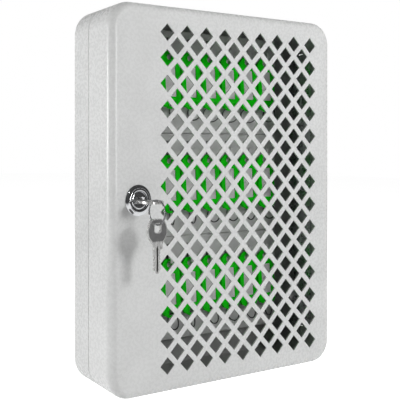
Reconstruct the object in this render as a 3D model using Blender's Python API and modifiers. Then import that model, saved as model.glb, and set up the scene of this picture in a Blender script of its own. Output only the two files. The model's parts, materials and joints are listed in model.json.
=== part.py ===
"""Wall-hung key cabinet with a perforated steel door.

A shallow tray hangs on the wall and a second tray, the door, closes it on a
piano hinge down the right-hand side. Behind the door are three hook boards
with rows of key tags. A cam lock on the left of the door turns a cam behind a
strike on the case.

Units are metres, +Z up. The origin is the centre of the case's back face, the
face that lies against the wall. The door looks along -Y. Depths are measured
back from the door face.
"""
import bpy
import bmesh
from math import pi, sin, cos, sqrt, radians
from mathutils import Matrix, Vector

MM = 0.001

# ------------------------------------------------------------- driving sizes
WIDTH = 234.0 * MM
HEIGHT = 300.0 * MM
DEPTH = 52.5 * MM          # wall face to door face
DOOR_DEPTH = 30.4 * MM     # door face to the seam between the two trays
SHEET = 1.0 * MM           # steel sheet of both trays
SEAM_GAP = 0.5 * MM        # open gap between door rim and case rim
CORNER_R = 19.6 * MM       # radius of the four corners, seen from the front
FRONT_R = 6.5 * MM         # rolled edge around the door face
BACK_R = 2.5 * MM          # bend around the wall face

# four round holes in the case's back, at +-X and +-Z
SCREW_HOLE_R = 2.75 * MM
SCREW_HOLE_X = 103.5 * MM
SCREW_HOLE_Z = 105.0 * MM

# diamond perforation: two interleaved grids
HOLE_COLS = 9
HOLE_ROWS = 14
HOLE_PITCH_X = 19.43 * MM
HOLE_PITCH_Z = 19.78 * MM
HOLE_DIAG_X = 13.6 * MM
HOLE_DIAG_Z = 13.7 * MM
HOLE_FIRST_X = 52.2 * MM   # first column, from the left edge
HOLE_FIRST_Z = 21.35 * MM  # first row, down from the top edge

# piano hinge
HINGE_LEN = 252.0 * MM
KNUCKLES = 8
KNUCKLE_R = 2.0 * MM
KNUCKLE_GAP = 0.3 * MM
HINGE_PIN_R = 1.0 * MM
HINGE_PIN_OUT = 0.6 * MM   # pin beyond the leaves at each end
HINGE_BORE_R = 1.1 * MM
LEAF_T = 0.75 * MM
LEAF_W = 11.0 * MM         # from the pin centre to the leaf's free edge
LEAF_CLEAR = 0.45 * MM     # leaf's near edge, clear of the other leaf's knuckles
WEB_REACH = 1.2 * MM       # web from knuckle to leaf, beyond the knuckle radius
WEB_INSET = 0.02 * MM      # web inside the leaf's two faces
AXIS_INSET = 0.10 * MM     # pin centre, in from the outer side face
CHANNEL_R = KNUCKLE_R + 0.35 * MM
CHANNEL_HALF = HINGE_LEN / 2 + 1.0 * MM

# hook boards
BOARD_LEFT = 28.8 * MM     # from the left edge of the case
BOARD_RIGHT = 215.0 * MM
BOARD_H = 88.8 * MM
BOARD_Z = {"bottom": 24.0 * MM, "middle": 113.0 * MM, "top": 202.0 * MM}  # lower edges, up
BOARD_FACE = 44.4 * MM     # depth of the front face
BOARD_T = 0.8 * MM
BOARD_BEND_R = 1.2 * MM    # outside radius of the bends
BOARD_BACK_GAP = 0.3 * MM  # flange edges to the case's back sheet
HOOKS = 8
HOOK_FIRST_X = 44.2 * MM
HOOK_PITCH = 22.2 * MM
HOOK_Z = 67.4 * MM         # top of the tongue's arm, up from the board's lower edge
HOOK_W = 2.4 * MM
HOOK_REACH = 6.0 * MM
HOOK_TIP = 8.7 * MM
HOOK_BEND_R = 1.2 * MM     # outside radius of the bend
HOOK_CHAMFER = 0.3 * MM    # tip, front corner
HOOK_BACK_CHAMFER = 0.1 * MM    # tip, width of the rear corner's chamfer
SLOT_H = 15.2 * MM
SLOT_W = HOOK_W + 0.5 * MM

# key tags and their rings
FIRST_TAG = 2              # the first hook of each row is empty
TAG_W = 20.0 * MM
TAG_L = 49.6 * MM
TAG_T = 2.6 * MM
TAB_T = 1.2 * MM           # thickness around the eye and the foot slot
TAG_DEPTH = 42.4 * MM      # mid-plane at the hook
TAG_TILT = 3.5             # degrees, foot forward
TAG_TOP = 70.3 * MM        # top of a tag, up from its board's lower edge
TAG_EYE_R = 2.5 * MM       # sets how far the tag hangs below its hook
TAG_EYE_HOLE_R = 2.75 * MM # the hole itself, with room to swing on the tongue
EYE_UP = 0.45 * MM - TAG_EYE_R  # eye centre, up from the top of the tongue's arm
TAG_FOOT_W = 4.4 * MM      # slot for the ring, width and height
TAG_FOOT_H = 4.4 * MM
FOOT_CHAMFER = 0.7 * MM
FOOT_BAR = 1.8 * MM        # height of the bar the ring hangs from
LABEL_W = 11.2 * MM
LABEL_H = 27.0 * MM
LABEL_DOWN = 12.4 * MM
LABEL_SINK = 0.8 * MM
RING_R = 6.6 * MM
RING_WIRE_R = 0.55 * MM
RING_LEAN = 2.8 * MM       # crosswise ring: centre in front of the foot
RING_DROP = 4.6 * MM       # and below the top of the bar it hangs from
RING_FLAT_DROP = 5.6 * MM  # the same for a ring turned nearly flat, hanging straight down
RING_FLAT_YAW = 40         # degrees, rings turned further than this count as flat
RING_YAW = {"top": (55, -22, 12, 55, 55, 55, 0),      # degrees, tags 2 to 8
            "middle": (55, -24, -20, 4, 2, -14, 0),
            "bottom": (-20, 0, -24, -4, 4, -10, -22)}

# cam lock
LOCK_X = 24.4 * MM         # from the left edge
LOCK_Z = 150.0 * MM
FLANGE_R = 11.85 * MM
NOSE_R = 9.35 * MM
NOSE_OUT = 2.3 * MM
BARREL_R = 7.9 * MM
BARREL_END = 20.0 * MM     # depth
LOCK_BORE_R = BARREL_R + 0.3 * MM   # in the door, washer and nut
PLUG_R = 6.0 * MM
PLUG_HEAD_R = 6.9 * MM
NUT_R = 12.1 * MM          # across corners, halved
NUT_T = 3.6 * MM
NUT_DEPTH = 4.1 * MM       # mid-plane
NUT_CHAMFER = 0.5 * MM
TANG_HALF = 3.2 * MM       # square tang on the plug, half its side
CAM_HOLE_HALF = 3.4 * MM   # square hole in the cam, half its side
CAM_LEN = 20.0 * MM
CAM_W = 10.0 * MM
CAM_T = 1.6 * MM
CAM_DEPTH = 20.7 * MM      # front face
CAM_HEAD_R = 6.2 * MM
CAM_TIP_R = 2.4 * MM

# keys and their ring
KEY_L = 40.0 * MM
KEY_T = 1.8 * MM
BOW_R = 8.75 * MM
BOW_START = -63.5          # degrees, where the bow's arc meets the neck
BOW_HOLE_R = 3.0 * MM
BOW_HOLE_DOWN = 6.6 * MM
NECK_HALF = 3.9 * MM
NECK_LEN = 3.2 * MM        # bow circle to shoulder
KEY_OUT = 24.0 * MM        # end of the bow, out from the door face
BLADE_W = 6.0 * MM
BITTING = (0.6, 1.3, 0.9, 1.6, 0.7)   # cut depths from the tip back, mm
CUT_FIRST = 3.0 * MM       # first cut, from the tip
CUT_PITCH = 2.9 * MM
CUT_FLAT = 0.9 * MM
CUT_SLOPE = 0.75           # length of a cut's ramp per depth
KEY_RING_R = 8.85 * MM
KEY_RING_WIRE_R = 0.55 * MM
KEY_RING_IN = 1.8 * MM     # ring centre, in from the end of the bow
KEY_RING_DROP = 7.0 * MM   # ring centre, below the lock axis
SPARE_CLEAR = 0.25 * MM    # between ring wire and the spare key's hole

# latch strike
STRIKE_H = 18.0 * MM
STRIKE_SECTION = [         # from the left edge, depth; mm
    (2.5, 51.2), (14.0, 51.2), (14.0, 50.0), (4.3, 50.0), (3.7, 49.4),
    (3.7, 19.6), (9.5, 19.6), (9.5, 18.4), (3.1, 18.4), (2.5, 19.0)]


# --------------------------------------------------------- frame of the case
def x_at(from_left):
    """X of a point given by its distance from the left edge."""
    return from_left - WIDTH / 2


def y_at(depth):
    """Y of a point given by its depth behind the door face."""
    return depth - DEPTH


def z_at(up):
    """Z of a point given by its height above the bottom edge."""
    return up - HEIGHT / 2


SEAM_Y = y_at(DOOR_DEPTH)
HINGE_X = WIDTH / 2 - AXIS_INSET
HINGE_AXIS = Vector((HINGE_X, SEAM_Y, 0.0))
LOCK = Vector((x_at(LOCK_X), y_at(0.0), z_at(LOCK_Z)))


def at_lock(x=0.0, y=0.0, z=0.0):
    """World point offset from the lock axis at the door face."""
    return LOCK + Vector((x, y, z))


# --------------------------------------------------------------- empty scene
for old in list(bpy.data.objects):
    bpy.data.objects.remove(old, do_unlink=True)

parts = bpy.data.collections.new("key_cabinet")
cutters = bpy.data.collections.new("key_cabinet_cutters")
bpy.context.scene.collection.children.link(parts)
bpy.context.scene.collection.children.link(cutters)


# ----------------------------------------------------------------- materials
def material(name, colour, roughness, metallic=0.0):
    mat = bpy.data.materials.new(name)
    mat.use_nodes = True
    bsdf = mat.node_tree.nodes["Principled BSDF"]
    bsdf.inputs["Base Color"].default_value = (*colour, 1.0)
    bsdf.inputs["Roughness"].default_value = roughness
    bsdf.inputs["Metallic"].default_value = metallic
    mat.diffuse_color = (*colour, 1.0)
    return mat


PAINT_CASE = material("grey_powder_coat_case", colour=(0.60, 0.61, 0.60), roughness=0.45)
PAINT_DOOR = material("grey_powder_coat_door", colour=(0.64, 0.65, 0.64), roughness=0.42)
PAINT_BOARD = material("grey_powder_coat_board", colour=(0.55, 0.56, 0.56), roughness=0.5)
ZINC = material("zinc_plate", colour=(0.62, 0.63, 0.65), roughness=0.35, metallic=1.0)
CHROME = material("chrome", colour=(0.80, 0.81, 0.82), roughness=0.08, metallic=1.0)
NICKEL = material("nickel_silver", colour=(0.66, 0.66, 0.64), roughness=0.28, metallic=1.0)
SPRING_STEEL = material("bright_wire", colour=(0.60, 0.61, 0.62), roughness=0.22,
                        metallic=1.0)
GREEN = material("green_plastic", colour=(0.0, 0.34, 0.0), roughness=0.35)


# ------------------------------------------------------------ object helpers
world_of = {}              # world position of each placed object, by name


def place(ob, where, parent=None):
    """Put an object at a world position, below a parent that isn't rotated."""
    where = Vector(where)
    base = world_of[parent.name] if parent else Vector((0, 0, 0))
    ob.parent = parent
    ob.location = where - base
    world_of[ob.name] = where


def pivot(name, where, parent=None):
    """An empty on a joint axis."""
    empty = bpy.data.objects.new(name, None)
    empty.empty_display_size = 0.01
    parts.objects.link(empty)
    place(empty, where, parent)
    return empty


def new_object(name, mesh, mat=None, where=(0, 0, 0), parent=None, rot=(0, 0, 0)):
    ob = bpy.data.objects.new(name, mesh)
    parts.objects.link(ob)
    ob.rotation_euler = rot
    place(ob, where, parent)
    if mat:
        mesh.materials.clear()
        mesh.materials.append(mat)
    return ob


def recentre(ob, where, parent=None):
    """Move an object's origin to a world point without moving its shape."""
    ob.data.transform(Matrix.Translation(-Vector(where)))
    place(ob, where, parent)


def combine(ob, other, how):
    """Boolean modifier; the other object becomes a hidden guide."""
    boolean = ob.modifiers.new(how.lower(), 'BOOLEAN')
    boolean.operation = how
    boolean.solver = 'EXACT'
    boolean.object = other
    parts.objects.unlink(other)
    cutters.objects.link(other)
    other.hide_render = True
    other.display_type = 'WIRE'


# -------------------------------------------------------------- mesh helpers
def smooth(mesh, degrees=32):
    mesh.shade_smooth()
    mesh.set_sharp_from_angle(angle=radians(degrees))


def mesh_from(bm, name):
    bmesh.ops.recalc_face_normals(bm, faces=bm.faces)
    mesh = bpy.data.meshes.new(name)
    bm.to_mesh(mesh)
    bm.free()
    return mesh


def weld(mesh):
    """Merge doubled vertices and turn all normals outward."""
    bm = bmesh.new()
    bm.from_mesh(mesh)
    bmesh.ops.remove_doubles(bm, verts=bm.verts, dist=0.000002)
    bmesh.ops.recalc_face_normals(bm, faces=bm.faces)
    bm.to_mesh(mesh)
    bm.free()


def evaluated_mesh(ob, name):
    """The object's mesh after its modifiers."""
    bpy.context.view_layer.update()
    depsgraph = bpy.context.evaluated_depsgraph_get()
    mesh = bpy.data.meshes.new_from_object(ob.evaluated_get(depsgraph))
    mesh.name = name
    return mesh


def freeze(ob, degrees=32):
    """Replace an object's mesh by its evaluated mesh, smooth shaded."""
    mesh = evaluated_mesh(ob, ob.name)
    weld(mesh)
    ob.modifiers.clear()
    ob.data = mesh
    smooth(mesh, degrees)


def bevel(bm, edges, offset, segments):
    bmesh.ops.bevel(bm, geom=edges, offset=offset, offset_type='OFFSET', segments=segments,
                    profile=0.5, affect='EDGES', clamp_overlap=False)


def block(name, corner, opposite):
    """Axis-aligned block between two opposite corners."""
    spans = [sorted(pair) for pair in zip(corner, opposite)]
    bm = bmesh.new()
    bmesh.ops.create_cube(bm, size=1.0)
    bmesh.ops.scale(bm, vec=[hi - lo for lo, hi in spans], verts=bm.verts)
    bmesh.ops.translate(bm, vec=[(lo + hi) / 2 for lo, hi in spans], verts=bm.verts)
    return new_object(name, mesh_from(bm, name))


def rod(name, radius, start, end, segments):
    """Round bar between two points."""
    start, end = Vector(start), Vector(end)
    along = end - start
    bm = bmesh.new()
    bmesh.ops.create_cone(bm, cap_ends=True, segments=segments, radius1=radius,
                          radius2=radius, depth=along.length)
    turn = Vector((0, 0, 1)).rotation_difference(along).to_matrix().to_4x4()
    bmesh.ops.transform(bm, matrix=Matrix.Translation((start + end) / 2) @ turn,
                        verts=bm.verts)
    mesh = mesh_from(bm, name)
    smooth(mesh)
    return new_object(name, mesh)


def turned(name, profile, segments, parent, rot, closed=True):
    """Lathe a profile of (radius, height) around local Z, on the lock axis.

    The profile runs down its outer side, top to bottom. An open one ends on the axis.
    """
    mesh = bpy.data.meshes.new(name + "_profile")
    count = len(profile)
    edges = [(i, i + 1) for i in range(count - 1)]
    if closed:
        edges.append((count - 1, 0))
    mesh.from_pydata([(radius, 0.0, height) for radius, height in profile], edges, [])
    ob = new_object(name, mesh, where=LOCK, parent=parent, rot=rot)
    lathe = ob.modifiers.new("turn", 'SCREW')
    lathe.axis = 'Z'
    lathe.angle = 2 * pi
    lathe.steps = segments
    lathe.render_steps = segments
    lathe.use_merge_vertices = True
    lathe.merge_threshold = 0.00001
    lathe.use_normal_calculate = False
    return ob


def flat_piece(name, loops, thickness):
    """A flat outline with holes, cut from plate of the given thickness."""
    curve = bpy.data.curves.new(name, 'CURVE')
    curve.dimensions = '2D'
    curve.fill_mode = 'BOTH'
    curve.extrude = thickness / 2
    for loop in loops:
        spline = curve.splines.new('POLY')
        spline.points.add(len(loop) - 1)
        for point, (x, y) in zip(spline.points, loop):
            point.co = (x, y, 0.0, 1.0)
        spline.use_cyclic_u = True
    outline = bpy.data.objects.new(name + "_outline", curve)
    parts.objects.link(outline)
    mesh = evaluated_mesh(outline, name)
    bpy.data.objects.remove(outline)
    bpy.data.curves.remove(curve)
    weld(mesh)
    mesh.materials.clear()
    smooth(mesh)
    return mesh


def ring_mesh(name, radius, wire, major, minor):
    """Torus of the given wire radius; major and minor are segment counts."""
    bpy.ops.mesh.primitive_torus_add(major_segments=major, minor_segments=minor,
                                     major_radius=radius, minor_radius=wire)
    torus = bpy.context.active_object
    mesh = torus.data
    mesh.name = name
    bpy.data.objects.remove(torus)
    smooth(mesh, 60)
    return mesh


def arc(x, y, radius, start, end, steps):
    """Points of an arc about (x, y), angles in degrees, both ends included."""
    angles = [radians(start + (end - start) * i / steps) for i in range(steps + 1)]
    return [(x + radius * cos(angle), y + radius * sin(angle)) for angle in angles]


def circle(x, y, radius, count, phase):
    angles = [2 * pi * i / count + phase for i in range(count)]
    return [(x + radius * cos(angle), y + radius * sin(angle)) for angle in angles]


# ----------------------------------------------------------------- two trays
def tray(name, y_open, y_closed, edge_r, edge_segments, mat):
    """Sheet tray: rounded outline, rolled edge, open at y_open, floor at y_closed."""
    depth = abs(y_closed - y_open)
    bm = bmesh.new()
    bmesh.ops.create_cube(bm, size=1.0)
    bmesh.ops.scale(bm, vec=(WIDTH, depth, HEIGHT), verts=bm.verts)
    bmesh.ops.translate(bm, vec=(0, (y_open + y_closed) / 2, 0), verts=bm.verts)
    corners = [edge for edge in bm.edges
               if abs(edge.verts[0].co.y - edge.verts[1].co.y) > depth / 2]
    bevel(bm, corners, offset=CORNER_R, segments=9)
    floor_rim = [edge for edge in bm.edges
                 if all(abs(v.co.y - y_closed) < 1e-6 for v in edge.verts)]
    bevel(bm, floor_rim, offset=edge_r, segments=edge_segments)
    mouth = [face for face in bm.faces
             if all(abs(v.co.y - y_open) < 1e-6 for v in face.verts)]
    bmesh.ops.delete(bm, geom=mouth, context='FACES')
    ob = new_object(name, mesh_from(bm, name), mat)
    sheet = ob.modifiers.new("sheet", 'SOLIDIFY')
    sheet.thickness = SHEET
    sheet.offset = -1.0
    sheet.use_even_offset = True
    sheet.use_rim = True
    smooth(ob.data)
    return ob


def cut_hinge_channel(ob, name):
    """Room for the hinge knuckles, half in each tray's rim."""
    combine(ob, rod(name, CHANNEL_R, (HINGE_X, SEAM_Y, -CHANNEL_HALF),
                    (HINGE_X, SEAM_Y, CHANNEL_HALF), segments=24), 'DIFFERENCE')


body = tray("cabinet_body", SEAM_Y + SEAM_GAP / 2, 0.0, BACK_R, 3, PAINT_CASE)
for n, (side_x, side_z) in enumerate([(-1, -1), (1, -1), (-1, 1), (1, 1)]):
    hole_x, hole_z = side_x * SCREW_HOLE_X, side_z * SCREW_HOLE_Z
    combine(body, rod("wall_screw_cut_%d" % n, SCREW_HOLE_R, (hole_x, -6 * MM, hole_z),
                      (hole_x, 4 * MM, hole_z), segments=16), 'DIFFERENCE')
cut_hinge_channel(body, "hinge_channel_case")


def diamond_punch():
    """One cutter for all the diamonds: every other cell of a half-pitch grid."""
    bm = bmesh.new()
    to_front = Matrix.Rotation(radians(90), 4, 'X')
    stretch = Matrix.Diagonal((1.0, 1.0, HOLE_DIAG_Z / HOLE_DIAG_X, 1.0))
    for row in range(2 * HOLE_ROWS - 1):
        for col in range(row % 2, 2 * HOLE_COLS - 1, 2):
            centre = Vector((x_at(HOLE_FIRST_X + col * HOLE_PITCH_X / 2), y_at(0.0),
                             z_at(HEIGHT - HOLE_FIRST_Z - row * HOLE_PITCH_Z / 2)))
            bmesh.ops.create_cone(bm, cap_ends=True, segments=4, radius1=HOLE_DIAG_X / 2,
                                  radius2=HOLE_DIAG_X / 2, depth=8 * MM,
                                  matrix=Matrix.Translation(centre) @ stretch @ to_front)
    return new_object("diamond_punch", mesh_from(bm, "diamond_punch"))


door_pivot = pivot("door_pivot", HINGE_AXIS)
door = tray("door", SEAM_Y - SEAM_GAP / 2, y_at(0.0), FRONT_R, 5, PAINT_DOOR)
combine(door, diamond_punch(), 'DIFFERENCE')
combine(door, rod("lock_hole_cut", LOCK_BORE_R, at_lock(y=-4 * MM), at_lock(y=6 * MM),
                  segments=32), 'DIFFERENCE')
cut_hinge_channel(door, "hinge_channel_door")
recentre(door, HINGE_AXIS, door_pivot)


# --------------------------------------------------------------- piano hinge
def hinge_leaf(name, side, first):
    """One leaf with every other knuckle; side is +1 into the case, -1 into the door."""
    pitch = HINGE_LEN / KNUCKLES
    inner = HINGE_X - KNUCKLE_R
    leaf = block(name,
                 (inner, SEAM_Y + side * (KNUCKLE_R + LEAF_CLEAR), -HINGE_LEN / 2),
                 (inner + LEAF_T, SEAM_Y + side * LEAF_W, HINGE_LEN / 2))
    bore = rod(name + "_bore", HINGE_BORE_R, (HINGE_X, SEAM_Y, -HINGE_LEN),
               (HINGE_X, SEAM_Y, HINGE_LEN), segments=12)
    for k in range(first, KNUCKLES, 2):
        low = -HINGE_LEN / 2 + k * pitch + KNUCKLE_GAP / 2
        high = low + pitch - KNUCKLE_GAP
        knuckle = rod("%s_knuckle_%d" % (name, k), KNUCKLE_R, (HINGE_X, SEAM_Y, low),
                      (HINGE_X, SEAM_Y, high), segments=14)
        web = block("%s_web_%d" % (name, k), (inner + WEB_INSET, SEAM_Y, low),
                    (inner + LEAF_T - WEB_INSET,
                     SEAM_Y + side * (KNUCKLE_R + WEB_REACH), high))
        combine(leaf, knuckle, 'UNION')
        combine(leaf, web, 'UNION')
    combine(leaf, bore, 'DIFFERENCE')
    leaf.data.materials.append(ZINC)
    return leaf


hinge_leaf("hinge_leaf_body", side=1, first=0)
recentre(hinge_leaf("hinge_leaf_door", side=-1, first=1), HINGE_AXIS, door_pivot)

pin_half = HINGE_LEN / 2 + HINGE_PIN_OUT
hinge_pin = rod("hinge_pin", HINGE_PIN_R, (HINGE_X, SEAM_Y, -pin_half),
                (HINGE_X, SEAM_Y, pin_half), segments=12)
hinge_pin.data.materials.append(ZINC)


# --------------------------------------------------------------- hook boards
def hook_profile():
    """Side view of one tongue: out from the board, then up. (forward, up)."""
    inner = HOOK_REACH - BOARD_T
    bend_at = (HOOK_REACH - HOOK_BEND_R, HOOK_BEND_R - BOARD_T)
    return [(-0.5 * BOARD_T, -BOARD_T),
            *arc(*bend_at, HOOK_BEND_R, -90, 0, 4),
            (HOOK_REACH, HOOK_TIP - HOOK_CHAMFER),
            (HOOK_REACH - HOOK_CHAMFER, HOOK_TIP),
            (inner + HOOK_BACK_CHAMFER, HOOK_TIP),
            (inner, HOOK_TIP - HOOK_CHAMFER),
            *arc(*bend_at, HOOK_BEND_R - BOARD_T, 0, -90, 2),
            (-0.5 * BOARD_T, 0.0)]


hook_mesh = flat_piece("hook_tongue", [hook_profile()], HOOK_W)


def board_section(y_front, z_low):
    """Channel section (y, z): face with a flange bent back along both long edges."""
    y_back = -(SHEET + BOARD_BACK_GAP)
    z_high = z_at(z_low + BOARD_H)
    z_low = z_at(z_low)
    bend_y = y_front + BOARD_BEND_R
    bend_low = z_low + BOARD_BEND_R
    bend_high = z_high - BOARD_BEND_R
    inner_r = BOARD_BEND_R - BOARD_T
    return [(y_back, z_low),
            *arc(bend_y, bend_low, BOARD_BEND_R, 270, 180, 4),
            *arc(bend_y, bend_high, BOARD_BEND_R, 180, 90, 4),
            (y_back, z_high),
            (y_back, z_high - BOARD_T),
            *arc(bend_y, bend_high, inner_r, 90, 180, 2),
            *arc(bend_y, bend_low, inner_r, 180, 270, 2),
            (y_back, z_low + BOARD_T)]


def hook_board(name, z_low):
    left, right = x_at(BOARD_LEFT), x_at(BOARD_RIGHT)
    y_front = y_at(BOARD_FACE)
    mesh = flat_piece(name, [board_section(y_front, z_low)], right - left)
    # section plane (y, z) is drawn in local XY; local Z becomes world X
    mesh.transform(Matrix(((0, 0, 1, (left + right) / 2), (1, 0, 0, 0), (0, 1, 0, 0),
                           (0, 0, 0, 1))))
    board = new_object(name, mesh, PAINT_BOARD)

    slots = bmesh.new()
    tongues = bmesh.new()
    z_hook = z_at(z_low + HOOK_Z)
    for k in range(HOOKS):
        x = x_at(HOOK_FIRST_X + k * HOOK_PITCH)
        slot_centre = (x, y_front + BOARD_T / 2, z_hook + SLOT_H / 2)
        bmesh.ops.create_cube(slots, size=1.0, matrix=Matrix.Translation(slot_centre)
                              @ Matrix.Diagonal((SLOT_W, 3 * MM, SLOT_H, 1)))
        tongue = hook_mesh.copy()
        # profile (forward, up) to world (-Y, Z); its thickness runs along X
        tongue.transform(Matrix(((0, 0, 1, x), (-1, 0, 0, y_front), (0, 1, 0, z_hook),
                                 (0, 0, 0, 1))))
        tongues.from_mesh(tongue)
        bpy.data.meshes.remove(tongue)
    for suffix, bm, how in (("_slots", slots, 'DIFFERENCE'), ("_tongues", tongues, 'UNION')):
        combine(board, new_object(name + suffix, mesh_from(bm, name + suffix)), how)


for label, board_low in BOARD_Z.items():
    hook_board("hook_board_" + label, board_low)

# ------------------------------------------------------------------ cam lock
OUTWARD = (pi / 2, 0, 0)   # local Z points out of the door
INWARD = (-pi / 2, 0, 0)   # local Z points back into the case


def outward(profile):
    """(radius, depth) pairs to (radius, height) pairs, height out of the door."""
    return [(radius, -depth) for radius, depth in profile]


def lock_housing():
    profile = outward([
        (7.30 * MM, -NOSE_OUT), (9.05 * MM, -NOSE_OUT), (NOSE_R, -2.05 * MM),
        (11.45 * MM, -0.75 * MM), (FLANGE_R, -0.45 * MM), (FLANGE_R, -0.15 * MM),
        (BARREL_R, -0.15 * MM), (BARREL_R, 19.50 * MM), (7.40 * MM, BARREL_END),
        (6.25 * MM, BARREL_END), (6.25 * MM, -0.90 * MM), (7.10 * MM, -0.90 * MM),
        (7.10 * MM, -2.10 * MM)])
    housing = turned("lock_housing", profile, 36, door_pivot, OUTWARD)
    freeze(housing, 25)
    housing.data.materials.append(CHROME)


def lock_washer():
    profile = outward([(LOCK_BORE_R, 1.3 * MM), (11.3 * MM, 1.3 * MM),
                       (11.3 * MM, 2.0 * MM), (LOCK_BORE_R, 2.0 * MM)])
    washer = turned("lock_washer", profile, 24, door_pivot, OUTWARD)
    freeze(washer)
    washer.data.materials.append(ZINC)


def lock_nut():
    bm = bmesh.new()
    bmesh.ops.create_cone(bm, cap_ends=True, segments=6, radius1=NUT_R, radius2=NUT_R,
                          depth=NUT_T)
    end_edges = [edge for edge in bm.edges
                 if abs(edge.verts[0].co.z - edge.verts[1].co.z) < 1e-7]
    bevel(bm, end_edges, offset=NUT_CHAMFER, segments=1)
    nut = new_object("lock_nut", mesh_from(bm, "lock_nut"), ZINC, rot=OUTWARD,
                     where=at_lock(y=NUT_DEPTH), parent=door_pivot)
    combine(nut, rod("lock_nut_bore", LOCK_BORE_R, LOCK, at_lock(y=10 * MM), segments=24),
            'DIFFERENCE')
    freeze(nut)


def lock_plug():
    """Plug with a square tang behind, a key slot in front and a bore for the screw."""
    profile = outward([
        (0.0, -1.90 * MM), (6.60 * MM, -1.90 * MM), (PLUG_HEAD_R, -1.60 * MM),
        (PLUG_HEAD_R, -1.15 * MM), (PLUG_R, -1.15 * MM), (PLUG_R, 20.25 * MM),
        (0.0, 20.25 * MM)])
    plug = turned("lock_plug", profile, 32, plug_pivot, OUTWARD, closed=False)
    combine(plug, block("plug_tang", at_lock(-TANG_HALF, 19.5 * MM, -TANG_HALF),
                        at_lock(TANG_HALF, 22.0 * MM, TANG_HALF)), 'UNION')
    combine(plug, block("key_slot", at_lock(-3.3 * MM, -6 * MM, -1.2 * MM),
                        at_lock(3.3 * MM, 16.6 * MM, 1.2 * MM)), 'DIFFERENCE')
    combine(plug, rod("cam_screw_bore", 1.75 * MM, at_lock(y=17.8 * MM),
                      at_lock(y=24 * MM), segments=12), 'DIFFERENCE')
    freeze(plug, 25)
    plug.data.materials.append(CHROME)


def lock_cam():
    """A plate hanging down from the plug's tang at rest."""
    half = CAM_W / 2
    neck_y = -4.5 * MM
    side_low = -CAM_LEN + 3.0 * MM
    tip_x = half - CAM_TIP_R
    tip_y = -CAM_LEN + 2.9 * MM
    outline = [*arc(0, 0, CAM_HEAD_R, 25, 155, 6),
               (-half, neck_y), (-half, side_low),
               *arc(-tip_x, tip_y, CAM_TIP_R, 180, 270, 3)[1:],
               *arc(tip_x, tip_y, CAM_TIP_R, 270, 360, 3)[:-1],
               (half, side_low), (half, neck_y)]
    hole = [(x * CAM_HOLE_HALF, y * CAM_HOLE_HALF)
            for x, y in ((-1, -1), (1, -1), (1, 1), (-1, 1))]
    new_object("lock_cam", flat_piece("lock_cam", [outline, hole], CAM_T), ZINC,
               rot=OUTWARD, where=at_lock(y=CAM_DEPTH + CAM_T / 2), parent=plug_pivot)


def cam_screw():
    """Screw with a cross recess, head at the back; its heights are depths."""
    profile = [(0.0, 24.95 * MM), (2.9 * MM, 24.8 * MM), (3.9 * MM, 24.3 * MM),
               (4.3 * MM, 23.6 * MM), (4.3 * MM, 22.6 * MM), (1.5 * MM, 22.6 * MM),
               (1.5 * MM, 18.2 * MM), (0.0, 18.2 * MM)]
    screw = turned("cam_screw", profile, 20, plug_pivot, INWARD, closed=False)
    long_half, short_half = 2.4 * MM, 0.45 * MM
    for n, (x, z) in enumerate([(long_half, short_half), (short_half, long_half)]):
        combine(screw, block("cam_screw_cross_%d" % n, at_lock(-x, 23.7 * MM, -z),
                             at_lock(x, 26 * MM, z)), 'DIFFERENCE')
    freeze(screw)
    screw.data.materials.append(ZINC)


lock_housing()
lock_washer()
lock_nut()
# the plug turns with the cam, its screw and the key
plug_pivot = pivot("plug_pivot", LOCK, door_pivot)
lock_plug()
lock_cam()
cam_screw()

# strike: a foot at the back, an arm forward along the case's left side, a lip turned right
new_object("latch_strike", flat_piece(
    "latch_strike", [[(x_at(x * MM), y_at(y * MM)) for x, y in STRIKE_SECTION]], STRIKE_H),
    ZINC, where=(0, 0, LOCK.z))


# ---------------------------------------------------------------------- keys
def key_loops():
    """Key outline and bow hole. Origin at the end of the bow, +Y from tip to bow."""
    half = BLADE_W / 2
    neck_y = -BOW_R - sqrt(BOW_R ** 2 - NECK_HALF ** 2) - 0.6 * MM
    shoulder = -2 * BOW_R - NECK_LEN
    blade_top = shoulder - 0.5 * MM
    tip = -KEY_L
    outline = arc(0, -BOW_R, BOW_R, BOW_START, 180 - BOW_START, 22)
    # neck, plain edge down to the tip, then the cuts on the way back up
    outline += [(-NECK_HALF, neck_y), (-NECK_HALF, shoulder), (-half, blade_top),
                (-half, tip + 2.6 * MM), (-0.7 * MM, tip), (0.7 * MM, tip),
                (half - 0.6 * MM, tip + 2.2 * MM)]
    for n, cut in enumerate(BITTING):
        y = tip + CUT_FIRST + n * CUT_PITCH
        outline += [(half - cut * MM, y), (half - cut * MM, y + CUT_FLAT),
                    (half, y + CUT_FLAT + cut * MM * CUT_SLOPE)]
    outline += [(half, blade_top), (NECK_HALF, shoulder), (NECK_HALF, neck_y)]
    return [outline, circle(0, -BOW_HOLE_DOWN, BOW_HOLE_R, 16, pi / 16)]


key_mesh = flat_piece("key_blank", key_loops(), KEY_T)
key_mesh.materials.append(NICKEL)

# this key lies level in the lock, bow out
key_pivot = pivot("key_pivot", LOCK, plug_pivot)
new_object("key_in_lock", key_mesh, rot=(0, 0, pi), where=at_lock(y=-KEY_OUT),
           parent=key_pivot)

# the ring hangs from the bow, upright and square to the door
ring_pivot = pivot("ring_pivot", LOCK, key_pivot)
ring_y = -KEY_OUT + KEY_RING_IN
new_object("key_ring", ring_mesh("key_ring", KEY_RING_R, KEY_RING_WIRE_R, 28, 6),
           SPRING_STEEL, rot=(0, pi / 2, 0), where=at_lock(y=ring_y, z=-KEY_RING_DROP),
           parent=ring_pivot)

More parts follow.
